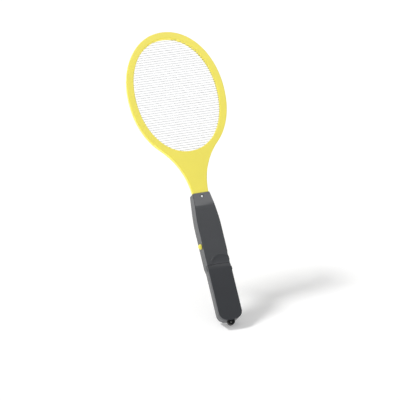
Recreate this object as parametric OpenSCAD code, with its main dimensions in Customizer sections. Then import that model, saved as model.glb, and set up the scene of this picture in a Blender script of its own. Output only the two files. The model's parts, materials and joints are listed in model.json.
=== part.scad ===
// Electric fly swatter: an oval wire grid in a two-part plastic head, on a battery handle.
// Upright frame: +Z runs from the butt to the top of the head, the front of the handle faces -Y,
// and the origin is below the middle of the butt, at the lowest point of the hanging eye.

/* [Head] */
// Width of the grid opening
grid_w = 128.6; // [126:0.2:132]
// Height of the grid opening
grid_h = 183.4; // [180:0.2:188]
// Height of the middle of the grid above the hanging eye
head_z = 362.6; // [360:0.2:366]
// Width of the rim's face
rim_w = 10.8; // [10:0.1:11.5]
// Thickness of the head, front to back
head_t = 8; // [7.6:0.1:9]
// How full the oval is: 2 is an ellipse, and more is squarer
head_power = 2.07; // [2:0.01:2.14]
// Width of the neck where it enters the handle
neck_w = 24.6; // [24:0.1:25]
// Angle on the rim where the neck's curve meets it, below the middle
neck_meet = 54; // [52:0.5:56]
// Distance from one grid wire to the next
wire_pitch = 3.75; // [3.5:0.05:5]
// Diameter of a grid wire
wire_d = 0.7; // [0.5:0.05:0.8]

/* [Handle] */
// Height of the handle's top edge
handle_top = 203.4; // [202.4:0.2:204.4]
// Height of the handle's butt
handle_bottom = 6.6; // [6.2:0.1:7]
// Width of the upper handle's front face
handle_w = 35.1; // [35:0.1:35.6]
// How far each side face of the upper handle leans out from its front edge to its back edge
side_lean = 1.35; // [1:0.05:1.6]
// Width of the battery section
battery_w = 35.1; // [35:0.1:35.5]
// Depth of the handle, front to back
handle_d = 18.2; // [18:0.1:19]
// Thickness of the handle's walls
wall = 1.8; // [1.6:0.1:2]
// Corner radius of the butt
butt_r = 12; // [10:0.5:13]

/* [Controls] */
// Height of the push button's middle
button_z = 123; // [121:0.2:125]
// Diameter of the push button
button_d = 8; // [7:0.1:9]
// How far the push button stands out of the handle's side
button_out = 4; // [3.4:0.1:4.4]
// Height of the indicator's middle
led_z = 197.8; // [197.4:0.1:198.2]

/* [Hidden] */
$fn = 64;

// A small overlap for cuts that run past a face
eps = 0.01;
// Reach of a cut that runs right out of the part
far = 60;

// Head: the skin of the hollow frame, the slot that the wires pass through, and the wire duct
skin = 2;
face_skin = 1.6;
half_t = head_t / 2;
wire_slot = 0.9;
duct_w = 11;
tang_bottom = 182;
tang_w = 17.2;
ear_w = 23;
ear_h = 7.2;
busbar_in = 5.2;
busbar_w = 1.2;
busbar_t = 1.6;
wire_tail = 3.2;
frame_screw_x = 8.5;
frame_screw_z = 238;

// Handle: where the faces change
half_d = handle_d / 2;
taper_z = 154;
taper_x = 4.8;
slope_z = 182;
slope_top_y = 5.2;
step_top_z = 89.5;
step_bottom_z = 82;
cover_z = 83.5;
cover_top = 91;
ledge_y = 8.3;
split_y = 3;
play = 0.3;
cover_wall = 1.5;
ledge_wall = 0.8;
upper_z = cover_top + play;
deck_w = 30;
deck_wall = 1.4;

// Thumb rest: a half-round scoop above the battery cover, with a raised rim
scoop_x = 4.7;
scoop_z = 89.5;
scoop_r = 15.4;
scoop_rim_w = 1.8;
scoop_rim_h = 0.3;
scoop_depth = 0.6;

// Finger grooves on the right side, as [height, depth], and the bump on the cover below them
groove_r = 15;
finger_grooves = [[104, 0.8], [91.6, 0.65]];
bump_out = 0.9;
bump_z = [80.4, 84.2];

// Screws of the handle
boss_r = 2.4;
screw_r = 1.2;
screw_hole_r = 1.3;
screw_head_r = 2.3;
handle_screw_at = [[-11.4, 192], [11.4, 192], [-12.4, 75], [12.4, 75]];

// Battery bay, with two AA cells side by side
cell_r = 7.25;
cell_len = 50.5;
cell_x = 7.4;
cell_y = 0.25;
bay_bottom = 13.5;
spring_len = 5;
bay_top = bay_bottom + spring_len + cell_len;
plate_t = 0.4;
bay_end = bay_top + plate_t;
deck_y = -6.5;

// Circuit board and what stands on it
board_y = 3.4;
board_t = 1.6;
lead_end_y = board_y - 0.15;
board_bottom = 79;
board_top = 173;
board_w = 26;

// Radius of the indicator's lens
led_r = 1.9;

// Hanging eye
eye_r = 5.5;
eye_hole_r = 1.4;
eye_front = -3;
eye_back = 4;

yellow = [0.95, 0.89, 0.35];
charcoal = [0.25, 0.25, 0.26];
steel = [0.78, 0.79, 0.80];
copper = [0.78, 0.45, 0.25];

// ---------------------------------------------------------------- shapes

// Extrudes a front view (X across, Z up) through the depth from y0 to y1
module slab(y0, y1) {
    translate([0, y1, 0]) rotate([90, 0, 0]) linear_extrude(y1 - y0) children();
}

// Extrudes a side view (Y depth, Z up) across the width from x0 to x1
module side_slab(x0, x1) {
    translate([x0, 0, 0]) rotate([90, 0, 90]) linear_extrude(x1 - x0) children();
}

// A round bar or hole along Y, from y0 to y1
module bar_y(x, z, r, y0, y1) {
    translate([x, y1, z]) rotate([90, 0, 0]) cylinder(h = y1 - y0, r = r);
}

// A round bar along X, from x0 to x1
module bar_x(y, z, r, x0, x1) {
    translate([x0, y, z]) rotate([0, 90, 0]) cylinder(h = x1 - x0, r = r);
}

// A block given by its two corners
module block(low, high) {
    translate(low) cube(high - low);
}

// A rectangle with round corners, as points
function round_rect(w, h, r, n = 6) = [
    for (q = [0:3], i = [0:n]) let (
        a = 90 * q + 90 * i / n,
        sx = q == 0 || q == 3 ? 1 : -1,
        sz = q < 2 ? 1 : -1
    ) [sx * (w / 2 - r) + r * cos(a), sz * (h / 2 - r) + r * sin(a)]
];

function unit(v) = v / norm(v);

// A smooth curve through the given points, with n steps between each pair
function smooth(p, n = 4) = [
    for (i = [0:len(p) - 2], k = [0:n - 1])
        let (a = p[max(i - 1, 0)], b = p[i], c = p[i + 1], d = p[min(i + 2, len(p) - 1)], t = k / n)
        0.5 * (2 * b + (c - a) * t + (2 * a - 5 * b + 4 * c - d) * t ^ 2
               + (3 * b - a - 3 * c + d) * t ^ 3),
    p[len(p) - 1]
];

// A round tube of radius r along a path; up is a direction that the path never takes
module tube(path, r, up, sides = 8) {
    last = len(path) - 1;
    points = [
        for (i = [0:last]) let (
            along = unit(path[min(i + 1, last)] - path[max(i - 1, 0)]),
            a = unit(cross(up, along)),
            b = cross(along, a)
        ) for (k = [0:sides - 1]) path[i] + r * (cos(360 * k / sides) * a + sin(360 * k / sides) * b)
    ];
    walls = [
        for (i = [0:last - 1], k = [0:sides - 1]) let (
            p = i * sides + k,
            q = i * sides + (k + 1) % sides
        ) each [[p, p + sides, q], [q, p + sides, q + sides]]
    ];
    ends = [[for (k = [0:sides - 1]) k], [for (k = [sides - 1:-1:0]) last * sides + k]];
    polyhedron(points, concat(walls, ends), convexity = 8);
}

// A lead of wire, through points chosen by hand
module lead(path, r) {
    tube(smooth(path), r, [1, 0.37, 0.21]);
}

// A coil spring standing on z0, narrowing towards its top
module coil(x, z0, length, r_bottom, r_top, wire_r, turns = 4.5, steps = 12) {
    n = turns * steps;
    path = [
        for (i = [0:n]) let (s = i / n, a = 360 * i / steps, r = r_bottom + (r_top - r_bottom) * s)
            [x + r * cos(a), r * sin(a), z0 + wire_r - 0.12 + (length - 2 * wire_r + 0.12) * s]
    ];
    tube(path, wire_r, [0, 0, 1], 6);
}

// A part with a lead out of each end, soldered to the board: body along Z
module axial_part(x, z, body_r, body_l, reach) {
    y = board_y - body_r - 0.6;
    translate([x, y, z - body_l / 2]) cylinder(h = body_l, r = body_r);
    for (s = [-1, 1]) {
        low = min(z + s * (body_l / 2 - eps), z + s * reach);
        high = max(z + s * (body_l / 2 - eps), z + s * reach);
        translate([x, y, low]) cylinder(h = high - low, r = 0.3, $fn = 24);
        bar_y(x, z + s * reach, 0.35, y - 0.4, board_y, $fn = 24);
    }
}

// ---------------------------------------------------------------- head outlines

// A cosine or sine, changed for an oval that is fuller than an ellipse
function full(c) = sign(c) * abs(c) ^ (2 / head_power);

// A point on the oval that lies grow outside the grid opening, at angle t
function oval_at(grow, t) = [
    (grid_w / 2 + grow) * full(cos(t)),
    head_z + (grid_h / 2 + grow) * full(sin(t))
];

function oval(grow, steps = 96) = [for (i = [0:steps - 1]) oval_at(grow, 360 * i / steps)];

// The outward direction of the oval at angle t
function oval_out(grow, t) =
    let (d = oval_at(grow, t + 0.5) - oval_at(grow, t - 0.5)) unit([d[1], -d[0]]);

// Half the width of the oval at height z
function oval_half(grow, z) =
    let (s = abs(z - head_z) / (grid_h / 2 + grow))
    (grid_w / 2 + grow) * (1 - s ^ head_power) ^ (1 / head_power);

// The right side of the neck, from the rim down to z0: an arc that leaves the rim along its outline
function neck_side(inset, z0, steps = 16) = let (
    top = oval_at(rim_w - inset, -neck_meet),
    out = oval_out(rim_w - inset, -neck_meet),
    half = neck_w / 2 - inset,
    r = (top[0] - half) / (1 - out[0]),
    middle = top + r * out,
    a0 = atan2(-out[1], -out[0]),
    a1 = 180
) [for (i = [0:steps])
    let (a = a0 + (a1 - a0) * i / steps, p = middle + r * [cos(a), sin(a)]) if (p[1] > z0 + 0.1) p];

function mirrored(right) = concat(right, [for (i = [len(right) - 1:-1:0]) [-right[i][0], right[i][1]]]);

// The head's outline, inset from its edge: over the oval, down the neck, then down the foot
module head_path(inset, foot, steps = 72) {
    crown = [
        for (i = [0:steps - 1]) let (t = 90 - (90 + neck_meet) * i / steps) oval_at(rim_w - inset, t)
    ];
    polygon(mirrored(concat(crown, neck_side(inset, foot[0][1]), foot)));
}

// The head with the tang that sits in the handle, and the ears that the handle's bosses hold
module head_outline() {
    neck_end = handle_top - 1.5;
    ear_top = tang_bottom + ear_h;
    head_path(0, [
        [neck_w / 2, neck_end], [tang_w / 2, neck_end], [tang_w / 2, ear_top],
        [ear_w / 2, ear_top], [ear_w / 2, tang_bottom]
    ]);
}

module head_cavity() {
    difference() {
        head_path(skin, [
            [neck_w / 2 - skin, handle_top + skin], [duct_w / 2, handle_top + skin],
            [duct_w / 2, tang_bottom - 1]
        ]);
        polygon(oval(skin));
        for (s = [-1, 1]) translate([s * frame_screw_x, frame_screw_z]) circle(r = boss_r + 0.4);
    }
}

// One half of the hollow frame, with its open side towards y = 0 and its face at y = half_t
module head_half() {
    difference() {
        slab(0, half_t) head_outline();
        slab(-1, half_t + 1) polygon(oval(0));
        slab(-1, half_t - face_skin) head_cavity();
        slab(-1, wire_slot / 2) difference() {
            polygon(oval(skin + eps));
            polygon(oval(-1));
        }
    }
}

// ---------------------------------------------------------------- head nodes

module head_frame_front() color(yellow) {
    difference() {
        mirror([0, 1, 0]) head_half();
        for (s = [-1, 1]) bar_y(s * frame_screw_x, frame_screw_z, 1, -2.9, 1);
        block([-3.2, -5, tang_bottom - 1], [3.2, 1, led_z + 2.9]);
    }
}

module head_frame_back() color(yellow) {
    difference() {
        head_half();
        for (s = [-1, 1]) {
            bar_y(s * frame_screw_x, frame_screw_z, screw_hole_r, -1, half_t + 1);
            bar_y(s * frame_screw_x, frame_screw_z, screw_head_r, half_t - 1.6, half_t + 1);
        }
    }
}

// A pan-head screw from the back, with a cross recess; the head's face is at y_head
module screw(x, z, y_head, head_r, head_h, shank_r, length) {
    difference() {
        union() {
            bar_y(x, z, head_r, y_head - head_h, y_head);
            bar_y(x, z, shank_r, y_head - head_h - length, y_head - head_h + eps);
        }
        for (turn = [0, 90]) translate([x, y_head, z]) rotate([0, turn, 0])
            block([-head_r * 0.6, -head_h * 0.5, -0.25], [head_r * 0.6, 1, 0.25]);
    }
}

module frame_screws() color(steel) {
    for (s = [-1, 1]) screw(s * frame_screw_x, frame_screw_z, half_t - 0.2, 2.1, 1.4, 0.95, 5);
}

// Every second wire is joined to the other busbar; side is -1 for left and 1 for right
wire_count = 2 * floor((grid_h / 2 - 1) / wire_pitch);
module grid_wires(side, first) {
    for (i = [first:2:wire_count - 1]) {
        z = head_z + (i - (wire_count - 1) / 2) * wire_pitch;
        joined = oval_half(busbar_in + busbar_w / 2, z);
        loose = oval_half(wire_tail, z);
        bar_x(0, z, wire_d / 2, side < 0 ? -joined : -loose, side < 0 ? loose : joined, $fn = 24);
    }
}

module grid_wires_positive() color(steel) grid_wires(-1, 0);
module grid_wires_negative() color(steel) grid_wires(1, 1);

// A strip that runs inside the rim from angle a0 to a1
module busbar(a0, a1, steps = 40) {
    inner = [for (i = [0:steps]) oval_at(busbar_in, a0 + (a1 - a0) * i / steps)];
    outer = [for (i = [steps:-1:0]) oval_at(busbar_in + busbar_w, a0 + (a1 - a0) * i / steps)];
    slab(-busbar_t / 2, busbar_t / 2) polygon(concat(inner, outer));
}

module busbar_left() color(copper) busbar(100, 262);
module busbar_right() color(copper) busbar(-82, 80);

// ---------------------------------------------------------------- handle outlines

// Half the width of the handle's front at height z: straight, with a curved taper to the top
function handle_half(z) = handle_w / 2
    - taper_x * max(0, (z - taper_z) / (handle_top - taper_z)) ^ 1.35;

// The right side of the handle from the top down to the step above the battery section
function handle_side(inset, lean) = [
    [handle_half(handle_top) + lean - inset, handle_top - inset],
    for (i = [1:9]) let (z = handle_top - inset - i * (handle_top - inset - taper_z) / 9)
        [handle_half(z) + lean - inset, z],
    [handle_w / 2 + lean - inset, step_top_z],
    [battery_w / 2 - inset, step_bottom_z]
];

// The right side of the battery section, round the corner to the middle of the butt
function butt_side(inset) = [
    for (i = [0:12]) let (a = -90 * i / 12)
        [battery_w / 2 - butt_r + (butt_r - inset) * cos(a),
         handle_bottom + butt_r + (butt_r - inset) * sin(a)]
];

module handle_outline(inset, lean = 0) {
    polygon(mirrored(concat(handle_side(inset, lean), butt_side(inset))));
}

// The room between the two side faces, which lean out towards the back
module between_sides() {
    reach = half_d + 1;
    heights = [for (i = [0:10]) handle_top + 1 - i * (handle_top + 1 - taper_z) / 10, 0];
    rings = [
        for (y = [-reach, reach])
            mirrored([for (z = heights) [handle_half(z) + side_lean * (y / half_d + 1) / 2, z]])
    ];
    n = len(rings[0]);
    points = [for (k = [0, 1], p = rings[k]) [p[0], k == 0 ? -reach : reach, p[1]]];
    walls = [for (i = [0:n - 1]) let (j = (i + 1) % n) [i, n + i, n + j, j]];
    ends = [[for (i = [0:n - 1]) i], [for (i = [n - 1:-1:0]) n + i]];
    polyhedron(points, concat(walls, ends), convexity = 4);
}

// The outside of the handle between depths y0 and y1
module handle_body(y0, y1) {
    intersection() {
        slab(y0, y1) handle_outline(0, side_lean);
        between_sides();
    }
}

// The battery section alone, up to height top
module battery_outline(inset, top) {
    polygon(mirrored(concat([[battery_w / 2 - inset, top]], butt_side(inset))));
}

// ---------------------------------------------------------------- handle nodes

module front_bosses() {
    for (at = handle_screw_at) bar_y(at[0], at[1], boss_r, at[1] > 100 ? -6 : -5.5, 0);
}

// Thickens the front wall behind the thumb rest
module scoop_backing() {
    side_slab(-handle_w / 2 + wall / 2, handle_w / 2 - wall / 2)
        polygon([[-7.4, upper_z], [-5.9, upper_z], [-5.9, 104], [-7.4, 107]]);
}

// The half-round scoop: its floor runs in from the top and levels out above the battery cover
module scoop_cut() {
    top = scoop_z + scoop_r;
    intersection() {
        bar_y(scoop_x, scoop_z, scoop_r, -12, -6);
        side_slab(-far, far) polygon([
            [-half_d + scoop_depth, cover_top - 1], [-half_d + scoop_depth, top - 10],
            [-half_d + scoop_depth * 0.65, top - 5.5], [-half_d, top], [-12, top], [-12, cover_top - 1]
        ]);
    }
}

// The scoop's raised rim
module scoop_rim() {
    intersection() {
        difference() {
            bar_y(scoop_x, scoop_z, scoop_r + scoop_rim_w, -half_d - scoop_rim_h, -half_d + 1);
            bar_y(scoop_x, scoop_z, scoop_r, -12, 0);
        }
        block([-handle_w / 2 + 1, -12, upper_z], [handle_w / 2 - 2, 0, 120]);
    }
}

// Hollows for two fingers in the right side, which fade out towards the joint of the shells
module finger_groove_cut() {
    for (g = finger_grooves) translate([handle_w / 2 - g[1], -half_d, g[0]]) rotate([0, 0, -10])
        bar_y(groove_r, 0, groove_r, -4, half_d);
}

// Rails in the battery section that the cover's lips slide along
rail_bottom = 20;
rail_top = 80;
module cover_rails() {
    for (s = [-1, 1]) {
        block([s > 0 ? 14.4 : -15.9 - wall / 2, -split_y, rail_bottom],
              [s > 0 ? 15.9 + wall / 2 : -14.4, -split_y + 1, rail_top]);
        block([s > 0 ? 14.4 : -15, -6, rail_bottom], [s > 0 ? 15 : -14.4, -split_y + eps, rail_top]);
        block([s > 0 ? 14.4 : -15.7, -6, rail_bottom], [s > 0 ? 15.7 : -14.4, -5, rail_top]);
    }
}

module button_hole() {
    bar_x(0, button_z, button_d / 2 + 0.25, -far, -handle_w / 2 + wall + 1.2);
}

// The hole that the neck enters by, and the way down for the tang below it
module neck_hole() {
    block([-neck_w / 2 - 0.2, -half_t - 0.2, handle_top - wall - 1],
          [neck_w / 2 + 0.2, half_t + 0.2, handle_top + 1]);
    block([-tang_w / 2 - 0.3, -half_t - 0.2, handle_top - 9],
          [tang_w / 2 + 0.3, half_t, handle_top - wall]);
}

slope_angle = atan((half_d - slope_top_y) / (handle_top - slope_z));
led_y = -half_d + (led_z - slope_z) * tan(slope_angle);

// Places the indicator's axis, square to the sloping face, with its own +Z pointing out
module at_led() {
    translate([0, led_y, led_z]) rotate([90 - slope_angle, 0, 0]) children();
}

// The upper front, its sloping top, the recessed deck under the cover and the edge of the bay
module front_solid() {
    intersection() {
        handle_body(-half_d, 0);
        side_slab(-far, far) polygon([
            [0, upper_z], [-half_d, upper_z], [-half_d, slope_z], [-slope_top_y, handle_top], [0, handle_top]
        ]);
    }
    intersection() {
        handle_body(-split_y, 0);
        block([-far, -far, 0], [far, far, upper_z + eps]);
    }
    block([-deck_w / 2, deck_y, bay_end], [deck_w / 2, -eps, upper_z + eps]);
}

// The space for the electronics, the space behind the deck, and the battery bay
module front_space() {
    intersection() {
        slab(-half_d, 1) handle_outline(wall);
        side_slab(-far, far) polygon([
            [1, upper_z + wall], [-half_d + wall, upper_z + wall], [-half_d + wall, slope_z - 1],
            [-slope_top_y + wall, handle_top - wall], [1, handle_top - wall]
        ]);
    }
    block([-deck_w / 2 + deck_wall, deck_y + deck_wall, bay_end + wall],
          [deck_w / 2 - deck_wall, 1, upper_z + wall + eps]);
    intersection() {
        slab(-far, 1) handle_outline(wall);
        block([-far, -far, 0], [far, far, bay_end]);
    }
    block([-deck_w / 2 + deck_wall, deck_y + deck_wall, bay_end - 1],
          [deck_w / 2 - deck_wall, 1, bay_end + wall + eps]);
}

// A hollow for the hanging eye in the middle of the butt
module eye_hollow() {
    bar_y(0, eye_r, eye_r + 0.1, eye_front - 1, eye_back + 0.1);
}

module handle_shell_front() color(charcoal) {
    difference() {
        union() {
            difference() {
                front_solid();
                front_space();
            }
            intersection() {
                slab(-half_d, 0) handle_outline(wall / 2);
                union() {
                    scoop_backing();
                    front_bosses();
                }
            }
            cover_rails();
            scoop_rim();
        }
        scoop_cut();
        finger_groove_cut();
        neck_hole();
        button_hole();
        eye_hollow();
        for (at = handle_screw_at) bar_y(at[0], at[1], screw_hole_r - 0.05, at[1] > 100 ? -5 : -4.6, 1);
        at_led() translate([0, 0, -6]) cylinder(h = 8, r = led_r + 0.15);
    }
}

module handle_shell_back() color(charcoal) {
    difference() {
        union() {
            difference() {
                handle_body(0, half_d);
                slab(-1, half_d - wall) handle_outline(wall);
            }
            for (at = handle_screw_at) bar_y(at[0], at[1], boss_r, 0, half_d - wall + eps);
            for (at = handle_screw_at) bar_y(at[0], at[1], screw_head_r + 1.1, 4.8, half_d - wall + eps);
            block([-16.2, 0, bay_end], [16.2, half_d - wall + eps, bay_end + 1.6]);
            block([-13.4, -5, bay_end], [13.4, eps, bay_end + 1.6]);
            block([-13, 0, bay_bottom - plate_t - 1.6], [13, half_d - wall + eps, bay_bottom - plate_t]);
            for (z = [board_bottom + 4, board_top - 6]) for (s = [-1, 1])
                block([s * 8 - 3, board_y + board_t, z], [s * 8 + 3, half_d - wall + eps, z + 2]);
        }
        neck_hole();
        button_hole();
        block([-15, 1, bay_bottom], [15, cell_y + cell_r + 0.2, bay_top]);
        for (at = handle_screw_at) {
            bar_y(at[0], at[1], screw_hole_r, -1, half_d + 1);
            bar_y(at[0], at[1], screw_head_r + 0.3, 6.3, half_d + 1);
        }
        for (s = [-1, 1]) block([s * cell_x - 1.7, 3.4, bay_top], [s * cell_x + 1.7, 4.4, bay_top + 3]);
        eye_hollow();
    }
}

module handle_screws() color(steel) {
    for (at = handle_screw_at) screw(at[0], at[1], 8, screw_head_r, 1.6, screw_r, at[1] > 100 ? 11 : 10.6);
}

// Side view of the cover: a flat front that ends in a ledge to push with the thumb
module cover_profile(inset) {
    polygon([
        [-split_y - play, handle_bottom + inset],
        [-half_d + inset, handle_bottom + inset],
        [-half_d + inset, cover_z],
        [-ledge_y + inset, cover_top],
        [-split_y - play, cover_top]
    ]);
}

// A low bump on the cover's right edge, with sloping ends
module cover_bump() {
    slab(-half_d + 0.3, -split_y - play) polygon([
        [battery_w / 2 - 0.6, bump_z[0] - 2.4], [battery_w / 2 + bump_out, bump_z[0]],
        [battery_w / 2 + bump_out, bump_z[1]], [battery_w / 2 - 0.6, bump_z[1] + 2.4]
    ]);
}

module battery_cover() color(charcoal * 0.9) {
    difference() {
        union() {
            intersection() {
                slab(-half_d, -split_y - play) battery_outline(0, cover_top);
                side_slab(-far, far) cover_profile(0);
            }
            cover_bump();
        }
        finger_groove_cut();
        intersection() {
            slab(-half_d, 1) battery_outline(cover_wall, cover_top + 1);
            side_slab(-far, far) polygon([
                [1, handle_bottom + cover_wall], [-half_d + cover_wall, handle_bottom + cover_wall],
                [-half_d + cover_wall, cover_z], [-ledge_y + ledge_wall, cover_top + 1], [1, cover_top + 1]
            ]);
        }
    }
    lip_out = battery_w / 2 - cover_wall + eps;
    for (s = [-1, 1])
        block([s > 0 ? 15.3 : -lip_out, -4.7, rail_bottom],
              [s > 0 ? lip_out : -15.3, -split_y - play, rail_top]);
}

module hanging_eye() color([0.03, 0.03, 0.03]) {
    difference() {
        union() {
            bar_y(0, eye_r, eye_r, eye_front, eye_back);
            block([-6.2, eye_front, handle_bottom + wall + 0.2], [6.2, eye_back, eye_r * 2 - 0.4]);
        }
        bar_y(0, eye_r - 1, eye_hole_r, eye_front - 1, eye_back + 1);
    }
}

// ---------------------------------------------------------------- switch

button_face = -handle_w / 2 - side_lean / 2 - button_out;
button_flange = -handle_w / 2 + wall + 0.3;
dome_h = 3;
plunger_tip = -12.6;
switch_face = -11;

module push_button() color(yellow) {
    dome_foot = button_d / 2 - 0.05;
    dome_r = (dome_foot ^ 2 + dome_h ^ 2) / (2 * dome_h);
    intersection() {
        bar_x(0, button_z, button_d / 2 + 1, button_face - 1, button_face + dome_h + 0.1);
        translate([button_face + dome_r, 0, button_z]) sphere(r = dome_r);
    }
    bar_x(0, button_z, button_d / 2, button_face + dome_h, button_flange + 0.1);
    bar_x(0, button_z, button_d / 2 + 1, button_flange, button_flange + 1);
    bar_x(0, button_z, 2.2, button_flange + 1 - eps, plunger_tip - 0.05);
}

module switch_plunger() color([0.9, 0.9, 0.88]) {
    bar_x(0, button_z, 1.5, plunger_tip, switch_face + 0.9);
}

module switch_body() color([0.12, 0.12, 0.13]) {
    difference() {
        block([switch_face, -3, button_z - 3], [-7.4, 3, button_z + 3]);
        bar_x(0, button_z, 1.6, switch_face - 1, switch_face + 2.2);
    }
    for (x = [-10, -8.4]) for (s = [-1, 1])
        block([x - 0.3, 3 - eps, button_z + s * 2.3 - 0.3], [x + 0.3, board_y, button_z + s * 2.3 + 0.3]);
}

// ---------------------------------------------------------------- circuit

module circuit_board() color([0.10, 0.42, 0.22]) {
    slab(board_y, board_y + board_t) translate([0, (board_bottom + board_top) / 2])
        polygon(round_rect(board_w, board_top - board_bottom, 1.5));
}

coil_y = board_y - 4.3;
coil_z = 108;

module transformer_core() color([0.28, 0.28, 0.30]) {
    difference() {
        block([-6.5, coil_y - 2.5, coil_z - 6], [6.5, coil_y + 2.5, coil_z + 6]);
        for (s = [-1, 1]) block([s * 3.5 - 1.5, coil_y - 3, coil_z - 4], [s * 3.5 + 1.5, coil_y + 3, coil_z + 4]);
    }
}

module transformer_coil() color([0.85, 0.68, 0.25]) {
    difference() {
        slab_z(coil_z - 3.9, coil_z + 3.9) polygon(round_rect(9.8, 8.6, 1));
        slab_z(coil_z - 5, coil_z + 5) square([4.2, 5.2], center = true);
    }
}

// Extrudes a top view, centred on the transformer, from z0 to z1
module slab_z(z0, z1) {
    translate([0, coil_y, z0]) linear_extrude(z1 - z0) children();
}

module storage_capacitor() color([0.62, 0.28, 0.12]) {
    slab(board_y - 9, board_y - 0.5) translate([4.5, 150]) polygon(round_rect(8, 17, 1.6));
    for (s = [-1, 1]) bar_y(4.5, 150 + s * 6, 0.4, board_y - 0.6, board_y, $fn = 24);
}

module multiplier_capacitors() color([0.20, 0.36, 0.66]) {
    for (z = [136, 145]) {
        translate([-6.5, board_y - 4, z - 1.2]) cylinder(h = 2.4, r = 3.3);
        for (s = [-1, 1]) bar_y(-6.5 + s * 2, z, 0.35, board_y - 2, board_y, $fn = 24);
    }
}

module rectifier_diodes() color([0.10, 0.10, 0.11]) {
    for (x = [-10, -6.5, -3]) axial_part(x, 160, 1.3, 5, 5.2);
}

module resistors() color([0.80, 0.70, 0.52]) {
    for (x = [-2, 1.5, 5]) axial_part(x, 89, 1.15, 6, 5);
}

module power_transistor() color([0.10, 0.10, 0.11]) {
    intersection() {
        bar_y(-7.5, 91, 2.4, -2.6, 2);
        block([-11, -3, 88], [-4, 3, 92.6]);
    }
    for (s = [-1, 0, 1]) bar_y(-7.5 + s * 1.27, 91, 0.3, 2 - eps, board_y, $fn = 24);
}

module indicator_led() color([0.93, 0.94, 0.95]) {
    at_led() {
        translate([0, 0, -3.3]) cylinder(h = 2.1, r = led_r);
        translate([0, 0, -1.3]) sphere(r = led_r);
        translate([0, 0, -4.1]) cylinder(h = 0.9, r = led_r + 0.35);
    }
}

module led_leads() color(steel) {
    inward = [0, cos(slope_angle), -sin(slope_angle)];
    for (s = [-1, 1]) {
        base = [s * 1.27, led_y, led_z] + 4.12 * inward;
        lead([
            base, base + 0.9 * inward, [s * 1.27, -0.9, led_z - 4], [s * 1.27, -0.9, 190],
            [s * 1.27, -0.9, 182], [s * 1.27, 0.4, 174], [s * 1.27, 2.6, 170.5],
            [s * 1.27, lead_end_y, 170.5]
        ], 0.3);
    }
}

module hv_lead(side) {
    busbar_z = oval_at(busbar_in + busbar_w, 262)[1];
    lead([
        [side * 6, lead_end_y, 167], [side * 6, 2.2, 167.2], [side * 6, 1.4, 172], [side * 5, 1.1, 180],
        [side * 4.4, 1.1, 190], [side * 4.4, 1.1, 215], [side * 4.4, 0.9, busbar_z - 22.5],
        [side * 6, 0.4, busbar_z - 9.5], [side * 8.6, 0, busbar_z - 1]
    ], 0.65);
}

module hv_lead_positive() color([0.75, 0.10, 0.10]) hv_lead(-1);
module hv_lead_negative() color([0.93, 0.93, 0.90]) hv_lead(1);

// ---------------------------------------------------------------- batteries

// An AA cell between z0 and its nub; up is 1 with the nub on top and -1 with it below
module cell(x, z0, up) {
    nub_h = 1.2;
    translate([x, cell_y, up > 0 ? z0 : z0 + nub_h]) cylinder(h = cell_len - nub_h, r = cell_r);
    translate([x, cell_y, up > 0 ? z0 + cell_len - nub_h - eps : z0]) cylinder(h = nub_h + eps, r = 2.6);
}

module battery_left() color([0.80, 0.62, 0.20]) cell(-cell_x, bay_bottom + spring_len, 1);
module battery_right() color([0.80, 0.62, 0.20]) cell(cell_x, bay_bottom, -1);

// A spring-steel plate under or over a cell, with a tab to solder the lead to
module plate(x, w, z, tab) {
    block([x - w / 2, -4.6, z], [x + w / 2, 5.6, z + plate_t]);
    if (tab) block([x - 1.5, 3.6, z + plate_t - eps], [x + 1.5, 4.1, z + 5]);
}

module contact_plate() color(steel) plate(-cell_x, 10, bay_top, true);

module contact_spring() color(steel) {
    plate(cell_x, 10, bay_top, true);
    mirror_z(bay_top) coil(cell_x, bay_top, spring_len, 4, 2.4, 0.4);
}

module battery_bridge() color(steel) {
    plate(0, 24, bay_bottom - plate_t, false);
    coil(-cell_x, bay_bottom, spring_len, 4, 2.4, 0.4);
}

module mirror_z(z) {
    translate([0, 0, 2 * z]) mirror([0, 0, 1]) children();
}

module battery_lead(side) {
    lead([
        [side * cell_x, 3.1, bay_top + 4.4], [side * cell_x, 1.2, bay_top + 6], [side * 8, 0.4, 77],
        [side * 8.6, 1.4, 82], [side * 9, 2.3, 84.5], [side * 9, lead_end_y, 84.5]
    ], 0.6);
}

module battery_lead_positive() color([0.75, 0.10, 0.10]) battery_lead(-1);
module battery_lead_negative() color([0.08, 0.08, 0.08]) battery_lead(1);

// ---------------------------------------------------------------- assembly

head_frame_front();
head_frame_back();
frame_screws();
grid_wires_positive();
grid_wires_negative();
busbar_left();
busbar_right();
handle_shell_front();
handle_shell_back();
handle_screws();
battery_cover();
hanging_eye();
push_button();
switch_body();
switch_plunger();
circuit_board();
transformer_core();
transformer_coil();
storage_capacitor();
multiplier_capacitors();
rectifier_diodes();
resistors();
power_transistor();
indicator_led();
led_leads();
hv_lead_positive();
hv_lead_negative();
battery_left();
battery_right();
contact_plate();
contact_spring();
battery_bridge();
battery_lead_positive();
battery_lead_negative();
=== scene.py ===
"""Looks of the electric fly swatter: materials, moulded edges, camera, light and floor."""

import json
import math

import bmesh
import bpy
from mathutils import Matrix, Vector
from mathutils.bvhtree import BVHTree

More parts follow.
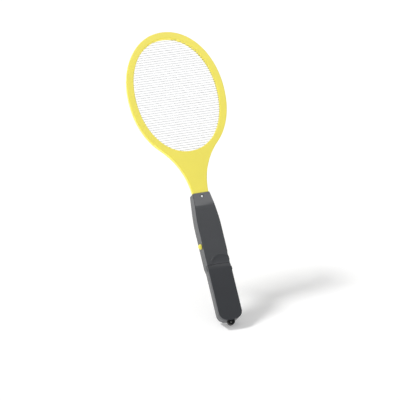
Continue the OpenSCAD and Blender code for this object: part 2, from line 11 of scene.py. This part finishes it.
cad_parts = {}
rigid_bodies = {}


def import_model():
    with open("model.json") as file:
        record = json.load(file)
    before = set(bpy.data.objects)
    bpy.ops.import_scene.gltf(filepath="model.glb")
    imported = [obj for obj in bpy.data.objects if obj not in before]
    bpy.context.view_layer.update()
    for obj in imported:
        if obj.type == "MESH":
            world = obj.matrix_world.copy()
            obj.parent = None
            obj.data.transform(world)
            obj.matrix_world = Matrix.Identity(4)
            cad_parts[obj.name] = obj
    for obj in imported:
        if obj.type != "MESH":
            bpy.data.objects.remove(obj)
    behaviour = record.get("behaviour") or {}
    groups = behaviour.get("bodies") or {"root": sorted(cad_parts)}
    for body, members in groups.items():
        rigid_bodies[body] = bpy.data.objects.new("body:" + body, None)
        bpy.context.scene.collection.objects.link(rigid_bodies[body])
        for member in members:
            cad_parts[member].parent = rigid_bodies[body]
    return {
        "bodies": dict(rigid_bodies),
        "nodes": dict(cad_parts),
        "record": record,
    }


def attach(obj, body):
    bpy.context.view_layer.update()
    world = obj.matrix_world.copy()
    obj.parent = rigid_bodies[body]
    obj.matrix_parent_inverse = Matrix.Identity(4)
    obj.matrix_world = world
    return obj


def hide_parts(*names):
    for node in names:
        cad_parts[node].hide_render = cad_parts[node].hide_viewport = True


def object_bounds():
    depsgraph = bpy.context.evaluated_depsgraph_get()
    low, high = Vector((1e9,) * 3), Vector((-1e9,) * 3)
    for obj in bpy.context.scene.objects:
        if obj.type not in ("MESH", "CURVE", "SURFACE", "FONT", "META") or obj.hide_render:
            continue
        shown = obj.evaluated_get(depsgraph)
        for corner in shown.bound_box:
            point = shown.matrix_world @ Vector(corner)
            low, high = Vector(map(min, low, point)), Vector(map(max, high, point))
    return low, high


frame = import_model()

CAD_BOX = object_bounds()
MM = 0.001
NODES = frame["nodes"]
RECORD = frame["record"]


def new_object(name, data):
    """Adds an object to the scene."""
    thing = bpy.data.objects.new(name, data)
    bpy.context.scene.collection.objects.link(thing)
    return thing


# ---------------------------------------------------------------- camera

# Where the camera stands, seen from the object, and how far it is rolled over
CAMERA_AZIMUTH = math.radians(-16.58)
CAMERA_ELEVATION = math.radians(-15.64)
CAMERA_ROLL = math.radians(13.51)

# The point it looks at, its distance from there and the end of its view, in metres
CAMERA_AIM = Vector((0.0005, 0.0106, 0.1970))
CAMERA_DISTANCE = 2.5
CAMERA_REACH = 50.0

# Its focal length and the width of its sensor, in millimetres
CAMERA_LENS = 151.3
CAMERA_SENSOR = 36.0


def view_axes(azimuth, elevation, roll):
    """The right, up and backward directions of a camera that looks at the object."""
    back = Vector((
        math.sin(azimuth) * math.cos(elevation),
        -math.cos(azimuth) * math.cos(elevation),
        math.sin(elevation),
    ))
    level_right = Vector((math.cos(azimuth), math.sin(azimuth), 0.0))
    level_up = back.cross(level_right)
    right = level_right * math.cos(roll) - level_up * math.sin(roll)
    up = level_right * math.sin(roll) + level_up * math.cos(roll)
    return right, up, back


def axes_matrix(right, up, back, place):
    """The matrix of an object with these axes at this place."""
    m = Matrix((right, up, back)).transposed().to_4x4()
    m.translation = place
    return m


RIGHT, UP, BACK = view_axes(CAMERA_AZIMUTH, CAMERA_ELEVATION, CAMERA_ROLL)


def make_camera():
    data = bpy.data.cameras.new("camera")
    data.lens = CAMERA_LENS
    data.sensor_width = CAMERA_SENSOR
    data.clip_end = CAMERA_REACH
    camera = new_object("camera", data)
    camera.matrix_world = axes_matrix(RIGHT, UP, BACK, CAMERA_AIM + BACK * CAMERA_DISTANCE)
    bpy.context.scene.camera = camera


# ---------------------------------------------------------------- shader nodes

def new_material(name):
    m = bpy.data.materials.new(name)
    m.use_nodes = True
    tree = m.node_tree
    tree.nodes.clear()
    out = tree.nodes.new("ShaderNodeOutputMaterial")
    return m, tree, out


def node(tree, kind, **settings):
    """Adds a node and sets its inputs by name."""
    n = tree.nodes.new(kind)
    for key, value in settings.items():
        n.inputs[key.replace("_", " ")].default_value = value
    return n


def number(tree, operation, value, operand):
    """The result of one operation on a value and a plain number."""
    n = tree.nodes.new("ShaderNodeMath")
    n.operation = operation
    n.inputs[1].default_value = operand
    tree.links.new(value, n.inputs[0])
    return n.outputs[0]


def either(tree, factor, first, second):
    """The first shader where the factor is 0, and the second where it is 1."""
    mix = tree.nodes.new("ShaderNodeMixShader")
    tree.links.new(factor, mix.inputs[0])
    tree.links.new(first.outputs[0], mix.inputs[1])
    tree.links.new(second.outputs[0], mix.inputs[2])
    return mix


def mixed(tree, factor, first, second):
    """The first colour where the factor is 0, and the second where it is 1."""
    n = tree.nodes.new("ShaderNodeMix")
    n.data_type = "RGBA"
    n.inputs["A"].default_value = (*first, 1)
    n.inputs["B"].default_value = (*second, 1)
    tree.links.new(factor, n.inputs["Factor"])
    return n


# ---------------------------------------------------------------- stage

# How steeply the camera looks down on the floor, and how far the floor is below the object
FLOOR_PITCH = math.radians(25)
FLOOR_DROP = 3 * MM
FLOOR_UP = UP * math.cos(FLOOR_PITCH) + BACK * math.sin(FLOOR_PITCH)
FLOOR_NEAR = BACK * math.cos(FLOOR_PITCH) - UP * math.sin(FLOOR_PITCH)

# The floor's width in metres, and its colour
FLOOR_SIZE = 12.0
FLOOR_COLOUR = (0.9, 0.9, 0.9, 1)

# The floor's own glow, and what is added to it where the gloss mirrors it
FLOOR_GLOW = 0.20
FLOOR_MIRRORED_GLOW = 0.55

# Light from all round, and the white that the camera sees behind the object
WORLD_STRENGTH = 0.46
BACKDROP_WHITE = 1.2
WHITE = (1, 1, 1, 1)

# The key light, high on the left and a little behind the object
KEY_TOWARD = (-0.58, 0.85, -0.33)
KEY_STRENGTH = 1.8
KEY_ANGLE = math.radians(10)

# The fill light, low over the floor from the camera's side
FILL_TOWARD = (0.0, 0.05, 1.0)
FILL_STRENGTH = 1.22
FILL_ANGLE = math.radians(40)

# A softbox that only the gloss mirrors, so that it shows in the sloping face
SOFTBOX_TOWARD = Vector((0.275, -0.769, 0.577)).normalized()
SOFTBOX_STRENGTH = 1.1
SOFTBOX_ANGLE = math.radians(22)

# How far the lights stand from the object, in metres
LIGHT_DISTANCE = 3.0


def floor_material():
    """White from above, and not there from below, so that it never hides the object."""
    m, tree, out = new_material("floor_white")
    white = node(tree, "ShaderNodeBsdfDiffuse", Color=FLOOR_COLOUR)
    glow = node(tree, "ShaderNodeEmission", Color=WHITE)
    ray = tree.nodes.new("ShaderNodeLightPath")
    extra = number(tree, "MULTIPLY", ray.outputs["Is Glossy Ray"], FLOOR_MIRRORED_GLOW)
    tree.links.new(number(tree, "ADD", extra, FLOOR_GLOW), glow.inputs["Strength"])
    both = tree.nodes.new("ShaderNodeAddShader")
    tree.links.new(white.outputs[0], both.inputs[0])
    tree.links.new(glow.outputs[0], both.inputs[1])
    clear = tree.nodes.new("ShaderNodeBsdfTransparent")
    side = tree.nodes.new("ShaderNodeNewGeometry")
    mix = either(tree, side.outputs["Backfacing"], both, clear)
    tree.links.new(mix.outputs[0], out.inputs["Surface"])
    m.cycles.emission_sampling = "NONE"
    return m


def make_floor():
    low, high = CAD_BOX
    foot = Vector(((low.x + high.x) / 2, (low.y + high.y) / 2, low.z))
    place = foot - FLOOR_UP * FLOOR_DROP
    bpy.ops.mesh.primitive_plane_add(size=FLOOR_SIZE)
    floor = bpy.context.object
    floor.name = "floor"
    floor.matrix_world = axes_matrix(RIGHT, FLOOR_UP.cross(RIGHT), FLOOR_UP, place)
    floor.data.materials.append(floor_material())
    # The cover slides down past the floor's height, so the floor goes down with it
    floor.parent = frame["bodies"]["cover"]


def make_world():
    world = bpy.data.worlds.new("world")
    world.use_nodes = True
    tree = world.node_tree
    tree.nodes.clear()
    out = tree.nodes.new("ShaderNodeOutputWorld")
    ray = tree.nodes.new("ShaderNodeLightPath")
    around, behind = (
        node(tree, "ShaderNodeBackground", Color=WHITE, Strength=strength)
        for strength in (WORLD_STRENGTH, BACKDROP_WHITE)
    )
    seen = either(tree, ray.outputs["Is Camera Ray"], around, behind)
    tree.links.new(seen.outputs[0], out.inputs["Surface"])
    bpy.context.scene.world = world


def toward(right, up, near):
    """A direction given across the floor, above it and along it towards the camera."""
    return (RIGHT * right + FLOOR_UP * up + FLOOR_NEAR * near).normalized()


def facing(direction):
    """Axes whose third one is the given direction."""
    right = Vector((0, 0, 1)).cross(direction).normalized()
    return right, direction.cross(right), direction


def add_sun(name, direction, strength, angle):
    data = bpy.data.lights.new(name, "SUN")
    data.energy = strength
    data.angle = angle
    sun = new_object(name, data)
    middle = (CAD_BOX[0] + CAD_BOX[1]) / 2
    sun.matrix_world = axes_matrix(*facing(direction), middle + direction * LIGHT_DISTANCE)
    return sun


def make_lights():
    add_sun("key", toward(*KEY_TOWARD), KEY_STRENGTH, KEY_ANGLE)
    add_sun("fill", toward(*FILL_TOWARD), FILL_STRENGTH, FILL_ANGLE)
    softbox = add_sun("softbox", SOFTBOX_TOWARD, SOFTBOX_STRENGTH, SOFTBOX_ANGLE)
    softbox.visible_diffuse = False


# ---------------------------------------------------------------- materials

# The part of a texture's range over which the colour goes from one tone to the other
TONE_RANGE = (0.35, 0.65)

# An AA cell, in mm: its sleeve leaves the can bare inside this radius, and the sleeve's band
# starts at this height above the negative end
CELL_FOLD = 5.2
CELL_BAND_START = 36.0

CELL_SLEEVE = (0.045, 0.05, 0.06)
CELL_BAND = (0.62, 0.36, 0.10)
CELL_CAN = (0.72, 0.72, 0.70)

YELLOW = (0.97, 0.845, 0.09)
BUTTON_YELLOW = (0.90, 0.80, 0.10)
CHARCOAL = (0.028, 0.031, 0.037)
CHARCOAL_COVER = (0.012, 0.0145, 0.020)
# The hanging eye's near-black, darker than the shell's charcoal: the eye's own dark plastic with
# painted shade from under the butt and in its hole
EYE_BLACK_AND_PAINTED_SHADE = (0.004, 0.004, 0.004)


def principled(name, roughness, metallic=0.0, coat=0.0, specular=0.5):
    m, tree, out = new_material(name)
    bsdf = node(
        tree, "ShaderNodeBsdfPrincipled", Roughness=roughness, Metallic=metallic, IOR=1.5,
        Coat_Weight=coat, Specular_IOR_Level=specular,
    )
    tree.links.new(bsdf.outputs[0], out.inputs["Surface"])
    return m, tree, bsdf


def noise(tree, scale, detail, stretch=(1, 1, 1)):
    """Noise in the object's own coordinates, finer along the axes with a larger stretch."""
    place = tree.nodes.new("ShaderNodeTexCoord")
    mapping = node(tree, "ShaderNodeMapping", Scale=stretch)
    n = node(tree, "ShaderNodeTexNoise", Scale=scale, Detail=detail, Roughness=0.5)
    tree.links.new(place.outputs["Object"], mapping.inputs["Vector"])
    tree.links.new(mapping.outputs[0], n.inputs["Vector"])
    return n


def shade(colour, factor):
    return tuple(min(c * factor, 1.0) for c in colour)


def two_tones(tree, bsdf, low, high, source):
    """Colour that drifts between two tones, following a texture."""
    ramp = tree.nodes.new("ShaderNodeValToRGB")
    for stop, place, colour in zip(ramp.color_ramp.elements, TONE_RANGE, (low, high)):
        stop.position = place
        stop.color = (*colour, 1)
    tree.links.new(source.outputs[0], ramp.inputs[0])
    tree.links.new(ramp.outputs[0], bsdf.inputs["Base Color"])


def rough_range(tree, bsdf, source, low, high):
    """Roughness that drifts between two values, following a texture."""
    spread = node(tree, "ShaderNodeMapRange", To_Min=low, To_Max=high)
    tree.links.new(source.outputs[0], spread.inputs["Value"])
    tree.links.new(spread.outputs[0], bsdf.inputs["Roughness"])


def bumps(tree, bsdf, source, strength, depth):
    """Bumps that follow a texture, with their depth in mm."""
    bump = node(tree, "ShaderNodeBump", Strength=strength, Distance=depth * MM)
    tree.links.new(source.outputs[0], bump.inputs["Height"])
    tree.links.new(bump.outputs[0], bsdf.inputs["Normal"])


def moulded_plastic(name, colour, roughness, grain, depth, drift=0.04, specular=0.5):
    """Injection-moulded plastic: a fine spark grain and a slow drift in tone and gloss."""
    m, tree, bsdf = principled(name, roughness, specular=specular)
    slow = noise(tree, scale=28.0, detail=4.0)
    two_tones(tree, bsdf, shade(colour, 1 - drift), shade(colour, 1 + drift), slow)
    rough_range(tree, bsdf, slow, roughness - 0.04, roughness + 0.05)
    bumps(tree, bsdf, noise(tree, grain, detail=2.0), strength=0.35, depth=depth)
    return m


def drawn_metal(name, colour, roughness, stretch):
    """Drawn, rolled or plated metal, with fine lines along one axis."""
    m, tree, bsdf = principled(name, roughness, metallic=1.0)
    lines = noise(tree, scale=900.0, detail=3.0, stretch=stretch)
    two_tones(tree, bsdf, shade(colour, 0.86), shade(colour, 1.06), lines)
    rough_range(tree, bsdf, lines, roughness - 0.06, roughness + 0.10)
    bumps(tree, bsdf, lines, strength=0.15, depth=0.02)
    return m


def cell_finish(name):
    """A plain shrunk sleeve with a band at the positive end, over a plated can."""
    m, tree, bsdf = principled(name, roughness=0.25, coat=0.3)
    place = tree.nodes.new("ShaderNodeTexCoord")
    split = tree.nodes.new("ShaderNodeSeparateXYZ")
    tree.links.new(place.outputs["Object"], split.inputs[0])
    across = tree.nodes.new("ShaderNodeCombineXYZ")
    tree.links.new(split.outputs["X"], across.inputs["X"])
    tree.links.new(split.outputs["Y"], across.inputs["Y"])
    radius = tree.nodes.new("ShaderNodeVectorMath")
    radius.operation = "LENGTH"
    tree.links.new(across.outputs[0], radius.inputs[0])
    bare = number(tree, "LESS_THAN", radius.outputs["Value"], CELL_FOLD * MM)
    banded = number(tree, "GREATER_THAN", split.outputs["Z"], CELL_BAND_START * MM)
    wrap = mixed(tree, banded, CELL_SLEEVE, CELL_BAND)
    drift = noise(tree, scale=90.0, detail=3.0)
    tinted = tree.nodes.new("ShaderNodeMix")
    tinted.data_type = "RGBA"
    tinted.blend_type = "MULTIPLY"
    tinted.inputs["Factor"].default_value = 0.15
    tree.links.new(wrap.outputs["Result"], tinted.inputs["A"])
    tree.links.new(drift.outputs["Color"], tinted.inputs["B"])
    whole = mixed(tree, bare, (0, 0, 0), CELL_CAN)
    tree.links.new(tinted.outputs["Result"], whole.inputs["A"])
    tree.links.new(whole.outputs["Result"], bsdf.inputs["Base Color"])
    tree.links.new(bare, bsdf.inputs["Metallic"])
    bumps(tree, bsdf, noise(tree, scale=500.0, detail=2.0), strength=0.2, depth=0.01)
    return m


# The material of every slot. A plastic's numbers are its roughness, and its grain's fineness
# and depth in mm. A metal's are its roughness, and its lines' stretch along each axis.
MATERIALS = {
    "head_plastic": moulded_plastic("yellow_abs", YELLOW, 0.36, 1500.0, 0.007, drift=0.015),
    "shell_plastic": moulded_plastic("charcoal_abs", CHARCOAL, 0.40, 2400.0, 0.05, drift=0.08),
    "cover_plastic": moulded_plastic(
        "cover_abs", CHARCOAL_COVER, 0.46, 2400.0, 0.05, drift=0.08, specular=0.42,
    ),
    # The eye's near-black is partly painted shade, not only its own colour
    "eye_plastic": moulded_plastic("black_nylon_and_painted_shade", EYE_BLACK_AND_PAINTED_SHADE, 0.5, 1800.0, 0.03, specular=0.2),
    "button_plastic": moulded_plastic("button_abs", BUTTON_YELLOW, 0.28, 1500.0, 0.01, drift=0.01),
    "grid_wire": drawn_metal("grid_steel", (0.44, 0.45, 0.46), 0.45, (0.02, 1, 1)),
    "busbar_metal": drawn_metal("busbar_brass", (0.78, 0.60, 0.30), 0.35, (1, 1, 0.1)),
    "screw_steel": drawn_metal("zinc_plate", (0.60, 0.61, 0.62), 0.34, (1, 1, 1)),
    "contact_metal": drawn_metal("nickel_plate", (0.72, 0.71, 0.68), 0.24, (1, 0.1, 1)),
    "switch_plastic": moulded_plastic("switch_black", (0.02, 0.02, 0.02), 0.4, 2000.0, 0.02),
    "plunger_plastic": moulded_plastic("plunger_white", (0.75, 0.74, 0.70), 0.35, 2000.0, 0.01),
    "board_laminate": moulded_plastic("solder_mask", (0.03, 0.20, 0.08), 0.3, 3000.0, 0.01),
    "ferrite": moulded_plastic("ferrite", (0.07, 0.07, 0.075), 0.6, 4000.0, 0.03),
    "winding": drawn_metal("enamelled_copper", (0.62, 0.30, 0.12), 0.3, (0.2, 0.2, 3)),
    "film_capacitor": moulded_plastic("brown_epoxy", (0.30, 0.09, 0.03), 0.25, 900.0, 0.03),
    "ceramic_capacitor": moulded_plastic("blue_epoxy", (0.04, 0.13, 0.40), 0.25, 900.0, 0.03),
    "black_epoxy": moulded_plastic("black_epoxy", (0.02, 0.02, 0.02), 0.45, 2000.0, 0.02),
    "resistor_lacquer": moulded_plastic("beige_lacquer", (0.60, 0.48, 0.30), 0.3, 1500.0, 0.02),
    "led_lens": moulded_plastic("clear_epoxy", (0.92, 0.93, 0.94), 0.12, 600.0, 0.005, drift=0.01),
    "lead_red": moulded_plastic("red_pvc", (0.50, 0.02, 0.02), 0.45, 1500.0, 0.02),
    "lead_white": moulded_plastic("white_pvc", (0.78, 0.78, 0.75), 0.45, 1500.0, 0.02),
    "lead_black": moulded_plastic("black_pvc", (0.02, 0.02, 0.02), 0.45, 1500.0, 0.02),
    "cell_sleeve": cell_finish("cell_sleeve"),
}


# ---------------------------------------------------------------- pieces

# The nodes that make the outside, with the width of round on each one's outside edges
MOULDED = {
    "head_frame_front": 1.3 * MM,
    "head_frame_back": 1.3 * MM,
    "handle_shell_front": 0.6 * MM,
    "handle_shell_back": 0.8 * MM,
    "battery_cover": 0.6 * MM,
    "hanging_eye": 0.5 * MM,
    "push_button": 0.3 * MM,
}

# How many strips each of those rounds is made of
ROUND_SEGMENTS = 4

# An edge this close to another node is a joint line, which gets only a fine break
SEAM_GAP = 0.45 * MM
SEAM_ROUND = 0.14 * MM

# Points closer than this are one point, and folds below this angle are flat
SAME_POINT = 0.001 * MM
FLAT_ANGLE = math.radians(0.3)

# Folds above this angle are edges to round
SHARP_ANGLE = math.radians(24)

# Two edges that meet at more than this angle run on from one another
RUN_ON_ANGLE = math.radians(130)

# A round takes at most this share of the face beside it
ROOM_SHARE = 0.45

# The test for an outside edge starts this far off the edge and looks this far ahead
START_GAP = 0.05 * MM
LOOK_AHEAD = 300 * MM

# Small pieces, with the width of the round on their edges
SMALL_ROUNDS = {
    "frame_screws": 0.12 * MM,
    "handle_screws": 0.15 * MM,
    "switch_body": 0.15 * MM,
    "transformer_core": 0.3 * MM,
    "circuit_board": 0.1 * MM,
    "contact_plate": 0.08 * MM,
    "power_transistor": 0.15 * MM,
}
SMALL_SEGMENTS = 2

# Folds above this angle are the small pieces' edges
SMALL_SHARP_ANGLE = math.radians(35)

# A cell's outline from its negative end up, as radius and height, in mm
CELL_OUTLINE = (
    (0, 0), (4.9, 0), (5.0, 0.2), (5.3, 0.2), (5.4, 0), (6.6, 0), (6.95, 0.1), (7.17, 0.35),
    (7.25, 0.7), (7.25, 48.6), (7.17, 48.95), (6.95, 49.2), (6.6, 49.3), (5.4, 49.3), (5.3, 49.1),
    (3.0, 49.1), (2.7, 49.2), (2.6, 49.5), (2.6, 50.2), (2.5, 50.4), (2.3, 50.5), (0, 50.5),
)

# How many steps a cell has around it, and the folds above which its surface shows an edge
CELL_STEPS = 72
CELL_SHARP_ANGLE = math.radians(50)


def slot_of(name):
    return next(p["material_slot"] for p in RECORD["subparts"] if p["node"] == name)


def body_of(name):
    return next(b for b, members in RECORD["behaviour"]["bodies"].items() if name in members)


def stand_in(piece, name):
    """Puts a piece in a CAD node's place, on the same body and with the same material."""
    slot = slot_of(name)
    piece.data.materials.append(MATERIALS[slot])
    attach(piece, body_of(name))
    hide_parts(name)


def mesh_from(bm, name):
    mesh = bpy.data.meshes.new(name)
    bm.to_mesh(mesh)
    bm.free()
    return mesh


def surface_tree(name):
    """A search tree of a node's surface."""
    mesh = NODES[name].data
    points = [v.co.copy() for v in mesh.vertices]
    faces = [tuple(p.vertices) for p in mesh.polygons]
    return BVHTree.FromPolygons(points, faces)


SURFACES = {name: surface_tree(name) for name in MOULDED}


def faces_out(point, direction):
    """Whether no wall of the object's outside lies ahead of a point."""
    start = point + direction * START_GAP
    return not any(s.ray_cast(start, direction, LOOK_AHEAD)[0] for s in SURFACES.values())


def near_other(name, point):
    """Whether another node's surface lies within a seam's gap of a point."""
    return any(
        surface.find_nearest(point, SEAM_GAP)[0] is not None
        for other, surface in SURFACES.items() if other != name
    )


def clean_mesh(name):
    """The CAD node's mesh with its faces joined up and its flat areas made whole."""
    bm = bmesh.new()
    bm.from_mesh(NODES[name].data)
    bmesh.ops.remove_doubles(bm, verts=bm.verts, dist=SAME_POINT)
    bmesh.ops.dissolve_limit(bm, angle_limit=FLAT_ANGLE, verts=bm.verts, edges=bm.edges)
    return bm


def room(edge):
    """How far the narrower face beside an edge reaches from it."""
    start, along = edge.verts[0].co, edge.verts[1].co - edge.verts[0].co
    along.normalize()

    def reach(face):
        return max(along.cross(v.co - start).length for v in face.verts)

    return min(reach(face) for face in edge.link_faces)


def edge_round(name, edge, width):
    """The width of the round that an edge by itself would get, or 0 to stay sharp."""
    if not edge.is_convex:
        return 0.0
    middle = (edge.verts[0].co + edge.verts[1].co) / 2
    if near_other(name, middle):
        return SEAM_ROUND
    outward = (edge.link_faces[0].normal + edge.link_faces[1].normal).normalized()
    return width if faces_out(middle, outward) else 0.0


def chain_round(name, chain, width):
    """The round that most of a chain's length would get, cut down to the room there is."""
    lengths = {}
    for edge in chain:
        own = edge_round(name, edge, width)
        lengths[own] = lengths.get(own, 0.0) + edge.calc_length()
    return min(max(lengths, key=lengths.get), ROOM_SHARE * min(room(edge) for edge in chain))


def runs_on(edge, other, vert):
    """Whether the second edge carries on the first one's line past their shared point."""
    a = edge.other_vert(vert).co - vert.co
    b = other.other_vert(vert).co - vert.co
    return a.angle(b) > RUN_ON_ANGLE


def edge_chains(bm):
    """The sharp edges, in runs that turn only a little from one edge to the next."""
    sharp = dict.fromkeys(
        e for e in bm.edges if len(e.link_faces) == 2 and e.calc_face_angle() > SHARP_ANGLE
    )
    chains = []
    while sharp:
        chain = [sharp.popitem()[0]]
        for edge in chain:
            for vert in edge.verts:
                near = [e for e in vert.link_edges if e in sharp]
                known = sum(1 for e in vert.link_edges if e in chain)
                if len(near) == 1 and known == 1 and runs_on(edge, near[0], vert):
                    del sharp[near[0]]
                    chain.append(near[0])
        chains.append(chain)
    return chains


def soften(name, width):
    """Replaces a CAD node by a copy whose outside edges are small moulded rounds."""
    bm = clean_mesh(name)
    weight = bm.edges.layers.float.new("bevel_weight_edge")
    for chain in edge_chains(bm):
        own = chain_round(name, chain, width)
        for edge in chain:
            edge[weight] = own / width
            edge.smooth = own > 0
    mesh = mesh_from(bm, name + "_moulded")
    for polygon in mesh.polygons:
        polygon.use_smooth = True
    piece = new_object(name + "_moulded", mesh)
    bevel = piece.modifiers.new("rounded_edges", "BEVEL")
    bevel.limit_method = "WEIGHT"
    bevel.width = width
    bevel.segments = ROUND_SEGMENTS
    bevel.use_clamp_overlap = False
    normals = piece.modifiers.new("even_shading", "WEIGHTED_NORMAL")
    normals.keep_sharp = True
    stand_in(piece, name)


def node_box(name):
    """The low and the high corner of a CAD node's box."""
    points = [NODES[name].matrix_world @ v.co for v in NODES[name].data.vertices]
    return (Vector([min(p[i] for p in points) for i in range(3)]),
            Vector([max(p[i] for p in points) for i in range(3)]))


def lathe(name, outline, steps, sharp_angle):
    """A closed round shape from an outline that starts and ends on the axis."""
    bm = bmesh.new()
    turns = [2 * math.pi * k / steps for k in range(steps)]
    rings = []
    for radius, height in outline:
        if radius == 0:
            rings.append([bm.verts.new((0, 0, height * MM))] * steps)
            continue
        rings.append([
            bm.verts.new((radius * MM * math.cos(t), radius * MM * math.sin(t), height * MM))
            for t in turns
        ])
    for below, above in zip(rings, rings[1:]):
        for k in range(steps):
            j = (k + 1) % steps
            corners = dict.fromkeys((below[k], below[j], above[j], above[k]))
            bm.faces.new(list(corners)).smooth = True
    mesh = mesh_from(bm, name)
    mesh.set_sharp_from_angle(angle=sharp_angle)
    return mesh


def add_cell(name, turned):
    """An AA cell in place of the CAD's plain one, with the nub at the bottom if turned."""
    low, high = node_box(name)
    mesh = lathe(name + "_cell", CELL_OUTLINE, CELL_STEPS, CELL_SHARP_ANGLE)
    piece = new_object(name + "_cell", mesh)
    end = high.z if turned else low.z
    place = Matrix.Translation(((low.x + high.x) / 2, (low.y + high.y) / 2, end))
    piece.matrix_world = place @ Matrix.Rotation(math.pi if turned else 0, 4, "X")
    stand_in(piece, name)


def round_small_edges():
    for name, width in SMALL_ROUNDS.items():
        bevel = NODES[name].modifiers.new("rounded_edges", "BEVEL")
        bevel.limit_method = "ANGLE"
        bevel.angle_limit = SMALL_SHARP_ANGLE
        bevel.width = width
        bevel.segments = SMALL_SEGMENTS


def make_pieces():
    for name, width in MOULDED.items():
        soften(name, width)
    add_cell("battery_left", turned=False)
    add_cell("battery_right", turned=True)
    round_small_edges()


def make_finishes():
    """Every CAD node gets its material."""
    for name, thing in NODES.items():
        thing.data.materials.clear()
        thing.data.materials.append(MATERIALS[slot_of(name)])


bpy.context.scene.view_settings.view_transform = "Standard"
make_camera()
make_floor()
make_world()
make_lights()
make_pieces()
make_finishes()
